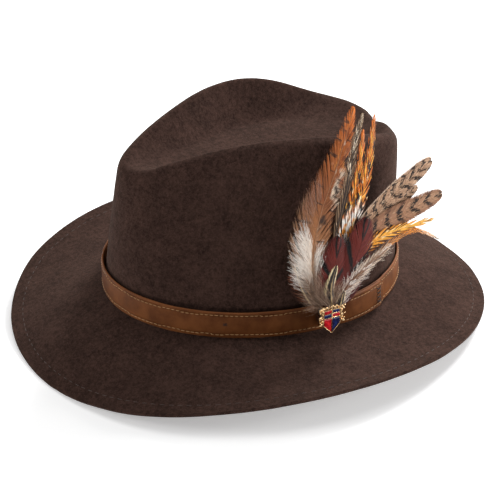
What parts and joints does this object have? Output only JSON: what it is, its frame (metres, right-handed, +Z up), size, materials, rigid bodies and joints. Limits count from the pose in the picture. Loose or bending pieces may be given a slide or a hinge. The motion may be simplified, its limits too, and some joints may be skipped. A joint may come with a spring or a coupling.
{
  "type": "fedora hat",
  "caption": "Wide-brimmed wool felt fedora with a teardrop crown, stitched leather hatband, leather sweatband and a removable feather brooch pinned at the side",
  "frame": {"origin": "on the surface that the hat stands on, under the middle of the brim", "axes": "+Y to the back of the hat, its longest way; +X to the wearer's left, the brooch side; +Z up, its shortest way"},
  "size_m": [0.317, 0.3324, 0.1757],
  "materials": {
    "wool_felt": "matt brown wool felt, lightly brushed",
    "felt_thread": "brown sewing thread, matched to the felt",
    "band_leather": "tan brown smooth leather, satin",
    "tan_thread": "tan sewing thread",
    "dark_thread": "dark brown sewing thread",
    "sweatband_leather": "dark brown soft leather",
    "piping": "woven tape over a reed",
    "ribbon": "grosgrain ribbon",
    "steel": "plated steel",
    "gold": "gold-coloured cast metal, polished",
    "red_enamel": "red soft enamel, glossy",
    "blue_enamel": "dark blue soft enamel, glossy",
    "dark_feather": "black feather with cream edges and spots",
    "orange_feather": "orange hackle with black spots",
    "yellow_feather": "orange-yellow hackle with dark streaks",
    "rust_feather": "rust hackle with dark streaks, cream down low",
    "brown_feather": "reddish-brown feather with dark bars",
    "buff_feather": "buff tail feather with black bars",
    "maroon_feather": "maroon breast feather with black bars, glossy",
    "down": "grey-brown down"
  },
  "bodies": {
    "hat": {"felt_body": "wool_felt", "brim_thread": "felt_thread", "leather_band": "band_leather", "band_thread_upper": "tan_thread", "band_thread_lower": "tan_thread", "band_end_stitches": "dark_thread", "band_tack": "dark_thread", "sweatband": "sweatband_leather", "sweatband_thread": "tan_thread", "sweatband_piping": "piping", "sweatband_bow": "ribbon"},
    "clutch": {"pin_clutch": "steel"},
    "brooch": {"pin_post": "steel", "crest_plate": "gold", "enamel_red": "red_enamel", "enamel_blue": "blue_enamel", "enamel_chief": "blue_enamel", "spray_backing": "band_leather", "quill_ferrule": "steel", "feather_spangled": "dark_feather", "feather_tail_short": "buff_feather", "feather_orange_middle": "orange_feather", "feather_tail_long": "buff_feather", "feather_orange_right": "orange_feather", "feather_tail_broad": "brown_feather", "feather_hackle_left": "rust_feather", "feather_yellow": "yellow_feather", "feather_wisp": "rust_feather", "feather_maroon_left": "maroon_feather", "feather_fluffy_right": "brown_feather", "feather_black_left": "dark_feather", "feather_maroon_upper": "maroon_feather", "feather_maroon_lower": "maroon_feather", "feather_black_middle": "dark_feather", "feather_black_right": "dark_feather", "down_tuft": "down"}
  },
  "joints": [
    {"name": "brooch_swivel", "type": "hinge", "parent": "hat", "child": "clutch", "pos_m": [0.09004, 0.00736, 0.04], "axis": [0.9998, 0.0201, 0], "range_deg": [-10, 10]},
    {"name": "brooch_pull", "type": "slide", "parent": "clutch", "child": "brooch", "axis": [0.9998, 0.0201, 0], "range_m": [0, 0.03]}
  ]
}
